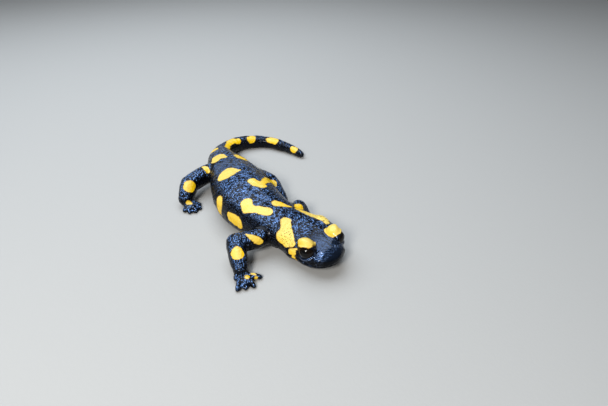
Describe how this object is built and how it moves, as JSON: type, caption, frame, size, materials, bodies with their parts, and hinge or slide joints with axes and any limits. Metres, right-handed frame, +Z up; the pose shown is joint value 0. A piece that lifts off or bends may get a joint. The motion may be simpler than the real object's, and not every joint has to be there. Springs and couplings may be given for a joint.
{
  "type": "fire salamander",
  "caption": "Still life-size model of a black and yellow fire salamander, crouched in mid-step on its belly, with its tail curled round to its left.",
  "frame": {"origin": "on the floor, at the middle of the model's footprint box", "axes": "+X runs along the trunk from the pelvis to the head, +Y to the animal's left, +Z up"},
  "size_m": [0.1086, 0.0728, 0.0166],
  "materials": {
    "skin": "wet, glossy black skin with sharp-edged yellow spots, finely wrinkled",
    "eye": "wet black eyeball"
  },
  "bodies": {
    "root": {"head": "skin", "lower_jaw": "skin", "eye_left": "eye", "eye_right": "eye", "neck": "skin", "trunk_front": "skin", "trunk_rear": "skin", "tail_root": "skin", "tail_bend": "skin", "tail_end": "skin", "fore_right_upper": "skin", "fore_right_lower": "skin", "fore_right_foot": "skin", "fore_left_upper": "skin", "fore_left_lower": "skin", "fore_left_foot": "skin", "hind_right_upper": "skin", "hind_right_lower": "skin", "hind_right_foot": "skin", "hind_left_upper": "skin", "hind_left_lower": "skin", "hind_left_foot": "skin"}
  },
  "joints": []
}
